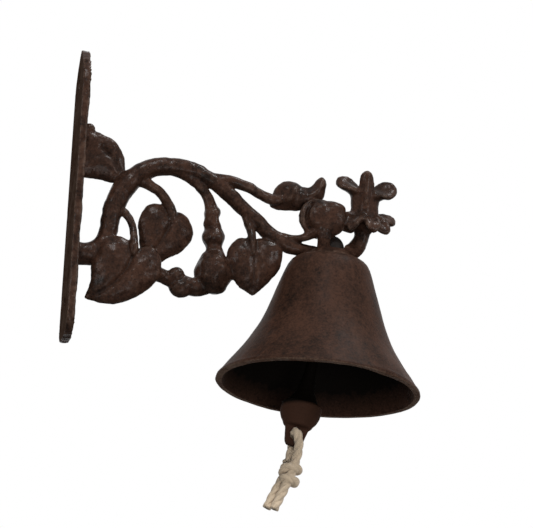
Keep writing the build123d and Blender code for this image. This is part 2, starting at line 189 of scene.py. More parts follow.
# Profiles of radius and height, each turned about its own upright axis
POD_PROFILE = [
    (0, 1.4), (1.8, 0.6), (3.0, -0.6), (3.9, -2.2), (4.3, -3.6), (3.7, -6), (4.5, -8.2), (4.8, -9.8),
    (4.4, -12), (5.3, -14.6), (5.6, -17), (5.1, -20), (4.6, -22.6), (4.8, -25), (6.0, -27.6),
    (8.4, -31.6), (9.6, -36.4), (9.4, -40.4), (7.7, -44.4), (4.4, -47.4), (0, -48.6)]
LILY_PROFILE = [
    (0, -5), (4.4, -4.6), (6.4, -2.2), (7.4, 1.5), (7.4, 6), (7.1, 10), (7.3, 14), (8.0, 17.6),
    (6.6, 18.4), (0, 14)]
BELL_OUTSIDE = [
    (54.55, 0.1), (55, 0.7), (54.75, 1.9), (53.9, 2.7), (52.5, 4.6), (50, 8.2), (47.5, 11.5),
    (45, 15), (42.3, 18.8), (39.9, 22.5), (37.8, 26.2), (35.9, 29.8), (34.2, 33.4), (32.7, 36.9),
    (31.4, 40.4), (30.3, 43.9), (29.2, 47.3), (28.1, 50.6), (27, 53.9), (25.8, 57.3), (24.6, 60.7),
    (23.5, 63.8), (22.3, 66.8), (20.8, 69.2), (18.9, 71), (16.2, 71.9), (4.2, 72)]
BELL_INSIDE = [
    (49.4, 4.2), (46.9, 7.9), (44.2, 11.6), (41.6, 15.3), (39.2, 19), (36.9, 22.7), (34.9, 26.4),
    (33, 30), (31.4, 33.6), (29.9, 37.1), (28.6, 40.6), (27.4, 44), (26.2, 47.4), (24.9, 51),
    (23.6, 54.6), (22.2, 58.6), (20.6, 62.4), (18.6, 65.4), (15.4, 67.3), (4.2, 67.6)]
CLAPPER_PROFILE = [
    (0, -5.6), (2.4, -6), (3.0, -8), (3.1, -36), (3.7, -41), (4.4, -44.6), (5.2, -48), (6.6, -51.4),
    (8.8, -54.6), (10.6, -55.8), (11.0, -56.6), (11.0, -58.4), (10.8, -61.4), (9.7, -64.4),
    (8.2, -66.6), (7.9, -67.6), (7.0, -68.3), (0, -68.5)]
SCREW_CUT = [(0, -9), (2.5, -9), (2.5, 0.3), (5.6, 3.4), (5.6, 9), (0, 9)]
SEAT_CUT = [(0, -12), (24, -12), (24, 0), (4.2, 0), (4.2, 4.6), (7.6, 4.6), (7.6, 14), (0, 14)]

# Petals: foot as (radius, height), length, width, thickness, rise and curl in degrees, and turn
PETALS = (
    dict(foot=(0.6, 13.6), length=18, width=11.5, thick=6.2, rise=46, curl=46, turn=184, twist=-58),
    dict(foot=(0.6, 13.4), length=17.5, width=13.5, thick=6.4, rise=56, curl=44, turn=352, twist=64),
    dict(foot=(5.4, 9.4), length=19.0, width=8.6, thick=5.2, rise=-1, curl=24, turn=268,
         point=0.05, fold=2.2),
    dict(foot=(5.0, 9.4), length=16, width=12, thick=4.4, rise=2, curl=80, turn=82),
)
# Sepals: turn, rise, curl, length and twist
SEPALS = (
    (176, 86, 40, 12.5, 0), (236, 112, 56, 16.5, 0), (286, 114, 56, 17, 0),
    (328, 120, 18, 16, 45), (2, 86, 26, 15.6, 50), (88, 90, 40, 13, 0))

# The rope's route through the eye and down to both ends, in metres from the eye
ROPE_ROUTE = [
    (-0.0090, -0.0012, -0.0412), (-0.0066, -0.0014, -0.0352), (-0.0038, -0.0018, -0.0288),
    (-0.0014, -0.0022, -0.0224), (0.0005, -0.0027, -0.0158), (0.0018, -0.0040, -0.0094),
    (0.0018, -0.0048, -0.0034), (0.0004, -0.0045, 0.0016), (-0.0006, -0.0018, 0.0018),
    (-0.0004, 0.0018, 0.0018), (-0.0002, 0.0045, 0.0010), (-0.0004, 0.0047, -0.0040),
    (-0.0012, 0.0038, -0.0094), (-0.0024, 0.0025, -0.0154), (-0.0042, 0.0020, -0.0216),
    (-0.0070, 0.0017, -0.0276), (-0.0100, 0.0015, -0.0340), (-0.0124, 0.0014, -0.0402)]


# Sizes and colours a user would change


class BellSizes(bpy.types.PropertyGroup):
    casting_skin: bpy.props.FloatProperty(
        name="Casting skin", description="Width of the faces that the vine's skin is made of",
        default=0.0007, min=0.0004, unit="LENGTH")
    casting_waver: bpy.props.FloatProperty(
        name="Waver", description="How far the sand mould's unevenness moves the vine's skin",
        default=0.00028, unit="LENGTH")
    plate_thick: bpy.props.FloatProperty(
        name="Plate", description="Thickness of the wall plate", default=0.0043, unit="LENGTH")
    leaf_thick: bpy.props.FloatProperty(
        name="Leaves", description="Thickness of a cast leaf", default=0.0026, unit="LENGTH")
    vein_depth: bpy.props.FloatProperty(
        name="Veins", description="Depth of a leaf's middle vein", default=0.0011, unit="LENGTH")
    lip_width: bpy.props.FloatProperty(
        name="Lip", description="Width of the flat lip round the bell's mouth",
        default=0.0034, unit="LENGTH")
    rope_thick: bpy.props.FloatProperty(
        name="Rope", description="Thickness of the cotton rope", default=0.0048, unit="LENGTH")
    rope_twist: bpy.props.FloatProperty(
        name="Twist", description="Length of rope in which its strands go once round",
        default=0.0165, unit="LENGTH")


class BellFinish(bpy.types.PropertyGroup):
    iron: bpy.props.FloatVectorProperty(
        name="Iron", description="Rust brown of the painted castings", subtype="COLOR",
        size=3, default=(0.0440, 0.0208, 0.0134))
    # Dark brown for random patches and the bolt, and the painted shade laid into the castings' hollows
    iron_dark_and_shade: bpy.props.FloatVectorProperty(
        name="Iron hollows", description="Darker brown in hollows and patches", subtype="COLOR",
        size=3, default=(0.0090, 0.0052, 0.0038))
    # Rubbed paint on edges, and also the paler paint of the bell's lip and the plate's back, which is
    # painted light there
    iron_worn_and_lit: bpy.props.FloatVectorProperty(
        name="Worn edges", description="Grey brown where hands and weather have rubbed the paint",
        subtype="COLOR", size=3, default=(0.118, 0.080, 0.060))
    # Painted shade: the near black deep inside the bell and over the clapper's top, where little light
    # reaches
    inside_shade: bpy.props.FloatVectorProperty(
        name="Inside", description="Near black of the bell's unpainted inside", subtype="COLOR",
        size=3, default=(0.0030, 0.0021, 0.0015))
    nut: bpy.props.FloatVectorProperty(
        name="Nut", description="Dark grey of the nut", subtype="COLOR", size=3,
        default=(0.013, 0.0115, 0.0105))
    cotton: bpy.props.FloatVectorProperty(
        name="Cotton", description="Undyed cotton of the rope", subtype="COLOR", size=3,
        default=(0.60, 0.48, 0.345))
    # Painted shade between the rope's strands and yarns, with some grime
    cotton_shade: bpy.props.FloatVectorProperty(
        name="Cotton grime", description="Dirt between the rope's strands", subtype="COLOR",
        size=3, default=(0.30, 0.225, 0.150))


# Materials


class Field:
    """A value or colour in a material, on which Python's own maths works."""

    def __init__(self, tree, socket=None):
        self.tree = tree
        self.socket = socket

    def node(self, kind, settings, sockets, out=0):
        """The output of a new node, with its settings made and its sockets filled or linked."""
        made = self.tree.nodes.new("ShaderNode" + kind)
        for name, value in settings.items():
            setattr(made, name, value)
        for name, value in sockets.items():
            if isinstance(value, Field):
                self.tree.links.new(value.socket, made.inputs[name])
            else:
                made.inputs[name].default_value = value
        return Field(self.tree, made.outputs[out])

    def maths(self, operation, first, second):
        return self.node("Math", {"operation": operation}, {0: first, 1: second})

    def __add__(self, other):
        return self.maths("ADD", self, other)

    def __radd__(self, other):
        return self.maths("ADD", other, self)

    def __sub__(self, other):
        return self.maths("SUBTRACT", self, other)

    def __rsub__(self, other):
        return self.maths("SUBTRACT", other, self)

    def __mul__(self, other):
        return self.maths("MULTIPLY", self, other)

    def __rmul__(self, other):
        return self.maths("MULTIPLY", other, self)


def mixed(field, share, first, second):
    """One colour over another, by a share."""
    def colour(value):
        return value if isinstance(value, Field) else (*value, 1)
    return field.node(
        "Mix", {"data_type": "RGBA"}, {0: share, 6: colour(first), 7: colour(second)}, out=2)


def grain(field, size_mm, detail=3.0, rough=0.55, stretch=None):
    """Cloudy noise with features of about this size, from 0 to 1."""
    place = field.node("TexCoord", {}, {}, out="Object")
    if stretch is not None:
        place = field.node("Mapping", {}, {"Vector": place, "Scale": stretch})
    return field.node("TexNoise", {}, {
        "Vector": place, "Scale": 1 / (size_mm * MM), "Detail": detail, "Roughness": rough})


def band(field, value, low, high):
    """0 below low, 1 above high and a straight ramp between."""
    return field.node("MapRange", {"clamp": True}, {
        "Value": value, "From Min": low, "From Max": high, "To Min": 0.0, "To Max": 1.0})


def blank_material(name):
    """A new material without nodes, and the field to draw its nodes in."""
    material = bpy.data.materials.new(name)
    material.use_nodes = True
    material.node_tree.nodes.clear()
    return material, Field(material.node_tree)


def close_material(field, sockets):
    """Ends a material in one surface shader."""
    surface = field.node("BsdfPrincipled", {}, sockets, out="BSDF")
    output = field.tree.nodes.new("ShaderNodeOutputMaterial")
    field.tree.links.new(surface.socket, output.inputs["Surface"])


def painted_iron(name, paint, dark_tone_and_shade, worn, wear=1.0, pitting=1.0, gloss=0.25, specular=0.05,
                 streaky=False, tones=(0.40, 0.60)):
    """Sand-cast iron under thin brown paint, rubbed on its edges, with painted shade in its hollows."""
    material, field = blank_material(name)
    patches = grain(field, 13, 3, 0.55, stretch=(1, 1, 0.22) if streaky else (1, 1, 1))
    blotches = grain(field, 3.6, 4, 0.65)
    sand = grain(field, 1.1, 3, 0.6)
    dust = grain(field, 0.4, 2, 0.6)
    geometry = field.node("NewGeometry", {}, {}, out="Pointiness")
    relief = field.node("Attribute", {"attribute_name": "relief"}, {}, out="Fac")
    raised = band(field, geometry, 0.505, 0.56) * 0.4 + band(field, relief, 0.35, 0.9) * 0.6
    # Painted shade, with some dirt: hollows and creases found by curvature and relief are darkened
    hollow_shade = 1 - band(field, geometry, 0.43, 0.498) * (0.45 + 0.55 * band(field, relief, -0.8, 0.0))
    place = field.node("TexCoord", {}, {}, out="Object")
    cells = field.node("TexVoronoi", {"feature": "F1"}, {
        "Vector": place, "Scale": 1 / (1.9 * MM), "Randomness": 1.0})
    pits = (1 - band(field, cells, 0.12, 0.30)) * band(field, blotches, 0.46, 0.60)
    mottle = band(field, patches * 0.35 + blotches * 0.3 + sand * 0.35, *tones)
    colour = mixed(field, mottle, dark_tone_and_shade, paint)
    rubbed = raised * band(field, blotches, 0.38, 0.62) * wear
    colour = mixed(field, rubbed * 0.45, colour, worn)
    dusty = band(field, dust * 0.4 + blotches * 0.6, 0.58, 0.68)
    colour = mixed(field, dusty * 0.22 * wear, colour, worn)
    # Painted shade laid into the hollows
    colour = mixed(field, hollow_shade * 0.9, colour, dark_tone_and_shade)
    colour = mixed(field, pits * 0.8 * pitting, colour, dark_tone_and_shade)
    skin = sand * 0.22 + blotches * 0.8 - pits * 0.5 * pitting
    normal = field.node(
        "Bump", {}, {"Strength": 0.55, "Distance": 0.0004, "Height": skin}, out="Normal")
    roughness = gloss + (1 - mottle) * 0.05 + hollow_shade * 0.2 + (blotches - 0.5) * 0.3
    close_material(field, {
        "Base Color": colour, "Roughness": roughness, "Metallic": 0.0,
        "Specular IOR Level": specular, "Normal": normal})
    return material


def iron_shaded_above(name, paint, inside_shade, low, high, bare=1.0, ragged=0.012):
    """Rough iron that is painted up to a height, with near-black painted shade above it."""
    material, field = blank_material(name)
    place = field.node("TexCoord", {}, {}, out="Object")
    height = field.node("SeparateXYZ", {}, {"Vector": place}, out="Z")
    cloud = grain(field, 5, 4, 0.6)
    sand = grain(field, 1.0, 3, 0.6)
    # Painted shade: the share of near black, rising with height
    shaded_above = band(field, height + (cloud - 0.5) * ragged, low, high)
    flaked = (1 - band(field, cloud * 0.5 + sand * 0.5, 0.3, 0.6)) * bare
    colour = mixed(field, shaded_above, mixed(field, flaked, paint, inside_shade), inside_shade)
    normal = field.node(
        "Bump", {}, {"Strength": 0.6, "Distance": 0.0003, "Height": sand + cloud}, out="Normal")
    close_material(field, {
        "Base Color": colour, "Roughness": 0.6 + cloud * 0.2, "Metallic": 0.0,
        "Specular IOR Level": 0.03, "Normal": normal})
    return material


def cotton(name, clean, shade_and_grime):
    """Undyed cotton yarn, fluffy, with painted shade between its strands and yarns and some grime
    patches.
    """
    material, field = blank_material(name)
    along = field.node("UVMap", {}, {}, out="UV")
    yarns = field.node("TexWave", {"wave_type": "BANDS", "bands_direction": "DIAGONAL"}, {
        "Vector": along, "Scale": 3.2, "Distortion": 1.6, "Detail": 2.0, "Detail Scale": 2.0})
    fluff = grain(field, 0.35, 3, 0.7)
    patches = grain(field, 5.5, 3, 0.6)
    edges = field.node("NewGeometry", {}, {}, out="Pointiness")
    # Painted shade in the creases between the strands and between the yarns, with grime patches
    hollow_shade = 1 - band(field, edges, 0.40, 0.50)
    shade_and_dirt = hollow_shade * 0.75 + band(field, patches, 0.5, 0.75) * 0.4
    colour = mixed(field, shade_and_dirt, clean, shade_and_grime)
    colour = mixed(field, (1 - yarns) * 0.25, colour, shade_and_grime)
    normal = field.node("Bump", {}, {
        "Strength": 0.8, "Distance": 0.0004, "Height": yarns * 0.6 + fluff * 0.8}, out="Normal")
    close_material(field, {
        "Base Color": colour, "Roughness": 0.9 + (fluff - 0.5) * 0.1, "Metallic": 0.0,
        "Specular IOR Level": 0.15, "Sheen Weight": 0.25, "Normal": normal})
    return material


# Shapes


def smooth_line(points, closed=False, corners=(), steps=7):
    """The points of a smooth curve through a few places, sharp only at the numbered corners."""
    curve = bpy.data.curves.new("guide", "CURVE")
    curve.dimensions = "3D"
    curve.resolution_u = steps
    spline = curve.splines.new("BEZIER")
    spline.bezier_points.add(len(points) - 1)
    spline.use_cyclic_u = closed
    for number, (knot, place) in enumerate(zip(spline.bezier_points, points)):
        knot.co = place
        knot.handle_left_type = knot.handle_right_type = "VECTOR" if number in corners else "AUTO"
    return line_of(curve)


def linked(name, data):
    """A new object in the scene."""
    thing = bpy.data.objects.new(name, data)
    bpy.context.scene.collection.objects.link(thing)
    return thing


def mesh_made_of(thing):
    """The mesh that Blender makes of an object, which goes."""
    made = bpy.data.meshes.new_from_object(
        thing.evaluated_get(bpy.context.evaluated_depsgraph_get()))
    bpy.data.batch_remove([thing, thing.data])
    return made


def take_mesh(bm, mesh):
    """Moves a mesh into bm."""
    bm.from_mesh(mesh)
    bpy.data.meshes.remove(mesh)


def give_mesh(bm, name):
    """bm as a mesh."""
    mesh = bpy.data.meshes.new(name)
    bm.to_mesh(mesh)
    return mesh


def line_of(curve):
    """The places along a curve, as Blender draws it."""
    mesh = mesh_made_of(linked("guide", curve))
    places = [v.co.copy() for v in mesh.vertices]
    bpy.data.meshes.remove(mesh)
    return places


def grow_stem(bm, points, radii):
    """A round stem that swells and tapers along a smooth line, with blunt ends."""
    curve = bpy.data.curves.new("stem", "CURVE")
    curve.dimensions = "3D"
    curve.resolution_u = 8
    curve.bevel_depth = 1.0
    curve.bevel_resolution = 4
    curve.use_fill_caps = True
    spline = curve.splines.new("BEZIER")
    spline.bezier_points.add(len(points) - 1)
    for knot, place, radius in zip(spline.bezier_points, points, radii):
        knot.co = (place[0], place[2] if len(place) > 2 else 0, place[1])
        knot.radius = radius
        knot.handle_left_type = knot.handle_right_type = "AUTO"
    take_mesh(bm, mesh_made_of(linked("stem", curve)))


def add_lump(bm, middle, size):
    """A rounded lump of these half sizes."""
    x, z, y = middle
    made = bmesh.ops.create_uvsphere(bm, u_segments=20, v_segments=12, radius=1)
    bmesh.ops.scale(bm, vec=size, verts=made["verts"])
    bmesh.ops.translate(bm, vec=(x, y, z), verts=made["verts"])


def turn_profile(bm, profile, steps, place=Matrix.Identity(4)):
    """A profile of radius and height turned once round its upright axis."""
    verts = [bm.verts.new((r, 0, z)) for r, z in profile]
    edges = [bm.edges.new(pair) for pair in zip(verts, verts[1:])]
    bmesh.ops.spin(
        bm, geom=verts + edges, cent=(0, 0, 0), axis=(0, 0, 1), angle=2 * math.pi,
        steps=steps, use_merge=True, use_duplicate=False)
    bmesh.ops.remove_doubles(bm, verts=bm.verts, dist=1e-4)
    bmesh.ops.transform(bm, matrix=place, verts=bm.verts)
    bmesh.ops.recalc_face_normals(bm, faces=bm.faces)


def add_turned(bm, profile, steps, place):
    """Adds a turned profile to what bm already holds."""
    turned = bmesh.new()
    turn_profile(turned, profile, steps, place)
    join(bm, turned)


def join(bm, other):
    """Moves everything in other into bm."""
    take_mesh(bm, give_mesh(other, "joined"))
    other.free()


def thickened(bm, flat, way):
    """Fills a flat outline of vertices and pulls its thickness out of it."""
    slab = bmesh.ops.extrude_face_region(bm, geom=[bm.faces.new(flat)])
    moved = [g for g in slab["geom"] if isinstance(g, bmesh.types.BMVert)]
    bmesh.ops.translate(bm, vec=way, verts=moved)
    bmesh.ops.recalc_face_normals(bm, faces=bm.faces)


def skin_over(bm, voxel):
    """Makes bm one closed skin of even faces, as one pour of iron would join it."""
    rough = linked("rough", give_mesh(bm, "rough"))
    skin = rough.modifiers.new("Skin", "REMESH")
    skin.mode = "VOXEL"
    skin.voxel_size = voxel
    bm.clear()
    take_mesh(bm, mesh_made_of(rough))


def ease(bm, passes=1, factor=0.5):
    """Smooths the skin."""
    for _ in range(passes):
        bmesh.ops.smooth_vert(
            bm, verts=bm.verts, factor=factor, use_axis_x=True, use_axis_y=True, use_axis_z=True)


def waver(bm, depth, size, seed=0.0):
    """Moves each vertex in or out by smooth noise, as a sand mould's face is uneven."""
    bm.normal_update()
    shift = Vector((seed, seed, seed))
    for vert in bm.verts:
        vert.co += vert.normal * depth * noise.noise(vert.co / size + shift)


def swell(bm, depth):
    """Moves the whole skin outwards, which gives back what smoothing took off."""
    bm.normal_update()
    for vert in bm.verts:
        vert.co += vert.normal * depth


def note_relief(bm, passes=30):
    """Keeps at each vertex how far it stands out of the smoothed shape, in millimetres."""
    relief = bm.verts.layers.float.new("relief")
    bm.normal_update()
    smooth = bm.copy()
    ease(smooth, passes)
    for vert, eased in zip(bm.verts, smooth.verts):
        vert[relief] = (vert.co - eased.co).dot(vert.normal)
    smooth.free()


def nearest_on(spots, line):
    """Each spot's distance from a drawn line, and how far along the line its nearest place lies."""
    starts, runs = line[:-1], np.diff(line, axis=0)
    lengths = np.linalg.norm(runs, axis=1)
    share = np.clip(((spots[:, None] - starts) * runs).sum(2) / lengths**2, 0, 1)
    gaps = np.linalg.norm(spots[:, None] - starts - share[..., None] * runs, axis=2)
    nearest = gaps.argmin(1)
    rows = np.arange(len(spots))
    before = np.concatenate([[0], np.cumsum(lengths)])[nearest]
    return gaps[rows, nearest], before + share[rows, nearest] * lengths[nearest]


def flat_line(points, **how):
    """The points of a smooth curve through places of X and Z."""
    return np.array([(p.x, p.y) for p in smooth_line([(x, z, 0) for x, z in points], **how)])


def add_leaf(bm, thick, vein, outline, tip, midrib, y, veined=1.0, crown=3.2, brim=9.0,
             lean=(0, 0), ridge=0.0):
    """A cast leaf: its outline filled, crowned towards the front and veined."""
    edge = flat_line(outline, closed=True, corners=(tip,))
    rib = flat_line(midrib)
    groove = vein * veined
    leaf = bmesh.new()
    thickened(leaf, [leaf.verts.new((x, 0, z)) for x, z in edge], (0, thick, 0))
    skin_over(leaf, LEAF_SKIN)
    ease(leaf)
    spots = np.array([(v.co.x, v.co.z) for v in leaf.verts])
    rim_gap, _ = nearest_on(spots, np.vstack([edge, edge[:1]]))
    rib_gap, rib_place = nearest_on(spots, rib)
    inside = np.clip(rim_gap / brim, 0, 1)
    height = crown * (1 - (1 - inside) ** 2)
    height -= groove * np.exp(-((rib_gap / 1.15) ** 2)) + crown * 0.42 * np.exp(-rib_gap / 3.0)
    side_vein = (rib_place - 0.9 * rib_gap) / 7.0
    side_gap = np.abs(side_vein - np.round(side_vein)) * 7.0
    away = np.clip(inside * 2, 0, 1) * np.clip(rib_gap / 2, 0, 1)
    height -= 0.14 * groove * np.exp(-((side_gap / 0.9) ** 2)) * away
    middle = spots.mean(0)
    height += (spots[:, 0] - middle[0]) * lean[0] + (spots[:, 1] - middle[1]) * lean[1]
    height += ridge * np.exp(-((rib_gap / 1.8) ** 2))
    for vert, rise in zip(leaf.verts, height):
        vert.co.y += y - thick / 2 - rise + crown / 2
    join(bm, leaf)


def add_petal(bm, foot, length, width, thick, rise, curl, turn, point=0.0, fold=0.5, twist=0):
    """A petal that leaves an upright axis, bends outwards towards its tip and has a folded middle."""
    ways = np.linspace(0, 1, 41)
    angles = np.radians(rise + curl * ways**2)
    outs = np.concatenate([[0], np.cumsum(np.sin(angles[1:]))]) * length / 40 + foot[0]
    ups = np.concatenate([[0], np.cumsum(np.cos(angles[1:]))]) * length / 40 + foot[1]
    made = bmesh.ops.create_uvsphere(bm, u_segments=32, v_segments=28, radius=1)
    for vert in made["verts"]:
        way = (vert.co.z + 1) / 2
        ring = max(math.hypot(vert.co.x, vert.co.y), 1e-9)
        across, through = vert.co.x / ring, vert.co.y / ring
        if ring < 1e-6:
            across = through = 0
        out, up, angle = (float(np.interp(way, ways, line)) for line in (outs, ups, angles))
        full = math.sqrt(max(0.0, 1 - abs((way - 0.45) / 0.55) ** 3))
        side = across * width / 2 * full * (1 - point * way**1.5)
        rib = math.exp(-((across / 0.3) ** 2)) * (1 - way**2)
        cup = width * (0.13 * across**2 - 0.09 * fold * rib) * full
        inner = through * thick / 2 * math.sqrt(full) * (1 - 0.35 * way) + cup
        roll = math.radians(twist) * min(1.0, way * 1.3)
        side, inner = (side * math.cos(roll) - inner * math.sin(roll),
                       side * math.sin(roll) + inner * math.cos(roll))
        vert.co = (out - inner * math.cos(angle), side, up + inner * math.sin(angle))
    bmesh.ops.transform(bm, matrix=Matrix.Rotation(math.radians(turn), 4, "Z"), verts=made["verts"])


def cut_away(bm, cutters):
    """Takes the cutters' shapes out of bm."""
    body = linked("body", give_mesh(bm, "body"))
    tool = linked("cutters", give_mesh(cutters, "cutters"))
    cut = body.modifiers.new("Cut", "BOOLEAN")
    cut.operation = "DIFFERENCE"
    cut.solver = "EXACT"
    cut.object = tool
    bm.clear()
    take_mesh(bm, mesh_made_of(body))
    bpy.data.batch_remove([tool, tool.data])
    cutters.free()


def finished(bm, name, materials, body, stands_for, smooth_angle=None):
    """bm, drawn in millimetres, as a piece that rides on a body in place of a CAD node."""
    bmesh.ops.scale(bm, vec=(MM, MM, MM), verts=bm.verts)
    mesh = give_mesh(bm, name)
    bm.free()
    for material in materials:
        mesh.materials.append(material)
    mesh.shade_smooth()
    if smooth_angle is not None:
        mesh.set_sharp_from_angle(angle=math.radians(smooth_angle))
    piece = linked(name, mesh)
    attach(piece, body)
    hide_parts(stands_for)
    return piece


# Pieces


class MakeBracket(bpy.types.Operator):
    """Casts the wall plate, vine, leaves, pod, lily and pad as one piece"""

    bl_idname = "wall_bell.make_bracket"
    bl_label = "Vine bracket"

    def execute(self, context):
        sizes, finish = context.scene.bell_sizes, context.scene.bell_finish
        bm = bmesh.new()
        self.add_plate(bm, sizes.plate_thick / MM)
        for places, radii in STEMS.values():
            grow_stem(bm, places, radii)
        for middle, size in LUMPS.values():
            add_lump(bm, middle, size)
        for leaf in LEAVES.values():
            add_leaf(bm, sizes.leaf_thick / MM, sizes.vein_depth / MM, **leaf)
        self.add_pod(bm)
        self.add_lily(bm)
        self.add_pad(bm)
        skin_over(bm, sizes.casting_skin / MM)
        ease(bm, passes=2)
        ease(bm, factor=0.3)
        swell(bm, EASED_OFF)
        waver(bm, sizes.casting_waver / MM * 1.7, 7.0)
        waver(bm, sizes.casting_waver / MM * 0.8, 2.6, seed=4.0)
        self.flatten_back(bm)
        cut_away(bm, self.cutters())
        note_relief(bm)
        plate_front = sizes.plate_thick / MM
        for face in bm.faces:
            middle = face.calc_center_median()
            under_pad = (middle - BELL_SEAT.translation).length < 18 and middle.z < -14.5
            if under_pad or face.normal.x > 0.7 and middle.x < plate_front + 0.4:
                face.material_index = 1
            # Painted light: the plate's back gets the paler worn paint, as it is lit less than the
            # front
            elif face.normal.x < -0.8 and middle.x < 0.3:
                face.material_index = 2
        iron = painted_iron("vine_iron", finish.iron, finish.iron_dark_and_shade, finish.iron_worn_and_lit)
        dull = painted_iron(
            "dull_iron", finish.iron, finish.iron_dark_and_shade, finish.iron_worn_and_lit, gloss=0.6, specular=0.01)
        # Painted light: paler paint for the plate's back
        back = painted_iron(
            "plate_back_painted_light", finish.iron_worn_and_lit, finish.iron, finish.iron_worn_and_lit, gloss=0.8, specular=0.0)
        finished(
            bm, "vine_bracket", [iron, dull, back], "frame", "bracket",
            smooth_angle=50)
        return {"FINISHED"}

    def add_plate(self, bm, thick):
        """The pointed plate, with a raised rim round its front."""
        arch = [(16.5, 57.5), (15.2, 64.5), (10.6, 72.0), (4.4, 77.7), (0, 80.2)]
        left = [(-y, z) for y, z in reversed(arch[:-1])]
        outline = arch + left + [(-16.5, -80.5), (16.5, -80.5)]
        plate = bmesh.new()
        plate.faces.new([plate.verts.new((0, y, z)) for y, z in outline])
        feet = [v for v in plate.verts if v.co.z < -80]
        bmesh.ops.bevel(plate, geom=feet, offset=PLATE_FOOT, offset_type="OFFSET", segments=7,
                        profile=0.5, affect="VERTICES", material=-1)
        slab = bmesh.ops.extrude_face_region(plate, geom=plate.faces[:])
        front = [g for g in slab["geom"] if isinstance(g, bmesh.types.BMVert)]
        bmesh.ops.translate(plate, vec=(thick, 0, 0), verts=front)
        top = [f for f in plate.faces if all(v.co.x > thick / 2 for v in f.verts)]
        bmesh.ops.inset_region(plate, faces=top, thickness=PLATE_RIM, depth=0)
        top = [f for f in plate.faces
               if f.calc_center_median().x > thick * 0.9 and abs(f.normal.x) > 0.9]
        floor = max(top, key=lambda f: f.calc_area())
        bmesh.ops.translate(plate, vec=(-PLATE_RECESS, 0, 0), verts=floor.verts)
        bmesh.ops.recalc_face_normals(plate, faces=plate.faces)
        join(bm, plate)

    def add_pod(self, bm):
        """The beaded seed pod that hangs from the arch and ends in a bulb."""
        pod = bmesh.new()
        turn_profile(pod, POD_PROFILE, 28, POD_PLACE)
        bmesh.ops.subdivide_edges(pod, edges=pod.edges, cuts=1, smooth=0.3, use_grid_fill=True)
        waver(pod, 1.5, 6.5, seed=2.0)
        join(bm, pod)

    def add_lily(self, bm):
        """The lily: a tube, four petals that curl out and a collar of pointed sepals."""
        lily = bmesh.new()
        turn_profile(lily, LILY_PROFILE, 60)
        for vert in lily.verts:
            swollen = 1 + 0.05 * math.cos(5 * math.atan2(vert.co.y, vert.co.x) - math.radians(268 * 5))
            vert.co.x *= swollen
            vert.co.y *= swollen
        for petal in PETALS:
            add_petal(lily, **petal)
        for turn, rise, curl, length, twist in SEPALS:
            add_petal(lily, (2.0, 3.4), length, 10.8, 5.0, rise, curl, turn,
                      point=0.25, fold=0.9, twist=twist)
        bmesh.ops.translate(lily, vec=LILY_PLACE, verts=lily.verts)
        join(bm, lily)

    def add_pad(self, bm):
        """The round pad, with its sloping top."""
        for top_radius, height in ((PAD_RADIUS, -1), (PAD_TOP_RADIUS, 2.9)):
            bmesh.ops.create_cone(
                bm, cap_ends=True, segments=64, radius1=PAD_RADIUS, radius2=top_radius, depth=4,
                matrix=BELL_SEAT @ Matrix.Translation((0, 0, height)))

    def flatten_back(self, bm):
        """The plate's back is ground flat against the wall."""
        for vert in bm.verts:
            vert.co.x = max(vert.co.x, 0.0) if vert.co.x < 0.5 else vert.co.x

    def cutters(self):
        """Screw holes, the flat seat over the bell's crown, and room for the bolt and its nut."""
        tools = bmesh.new()
        for z in (-SCREW_HEIGHT, SCREW_HEIGHT):
            add_turned(tools, SCREW_CUT, 48,
                       Matrix.Translation((0, 0, z)) @ Matrix.Rotation(math.radians(90), 4, "Y"))
        add_turned(tools, SEAT_CUT, 64, BELL_SEAT)
        return tools


class MakeBell(bpy.types.Operator):
    """Turns the bell, with its flat lip painted paler (painted light, partly rubbed paint) and painted
    shade up its inside
    """

    bl_idname = "wall_bell.make_bell"
    bl_label = "Bell"

    def execute(self, context):
        sizes, finish = context.scene.bell_sizes, context.scene.bell_finish
        lip = sizes.lip_width / MM
        mouth = MOUTH_RADIUS - lip
        bm = bmesh.new()
        inside = [(mouth, 0), (mouth - 0.5, 0.4), *BELL_INSIDE]
        turn_profile(bm, BELL_OUTSIDE + inside[::-1] + BELL_OUTSIDE[:1], 160)
        # Inward faces and the crown's underside take the inside material, which paints shade up inside
        # the bell
        for face in bm.faces:
            middle = face.calc_center_median()
            radius = math.hypot(middle.x, middle.y)
            inwards = face.normal.x * middle.x + face.normal.y * middle.y < 0
            wall = inwards and BOLT_HOLE < radius < mouth and middle.z < CROWN_INSIDE
            crown = radius < 20 and abs(middle.z - CROWN_INSIDE) < 0.8
            if wall or crown:
                face.material_index = 1
            # Painted light, partly rubbed paint: the lip's downward faces get the paler lip paint
            elif middle.z < LIP_TOP:
                face.material_index = 2
        waver(bm, 0.42, 26)
        waver(bm, 0.16, 7, seed=3.0)
        bmesh.ops.scale(bm, vec=(WAVER_ROOM, WAVER_ROOM, 1), verts=bm.verts)
        bmesh.ops.transform(
            bm, matrix=BELL_SEAT @ Matrix.Translation((0, 0, -BELL_HEIGHT)), verts=bm.verts)
        iron = painted_iron(
            "bell_iron", finish.iron, finish.iron_dark_and_shade, finish.iron_worn_and_lit, wear=0.3, pitting=0.6,
            gloss=0.45, specular=0.025, streaky=True, tones=(0.38, 0.58))
        # Painted shade: near black above a ragged height near the lip, deeper inside the bell
        inside_shade = iron_shaded_above("bell_inside_painted_shade", finish.iron, finish.inside_shade, -0.0940, -0.084)
        lit_lip_iron = painted_iron(
            "bell_lip_painted_light", finish.iron_worn_and_lit, finish.iron, finish.iron_worn_and_lit, gloss=0.6, specular=0.02)
        finished(
            bm, "iron_bell", [iron, inside_shade, lit_lip_iron], "frame", "bell",
            smooth_angle=40)
        return {"FINISHED"}


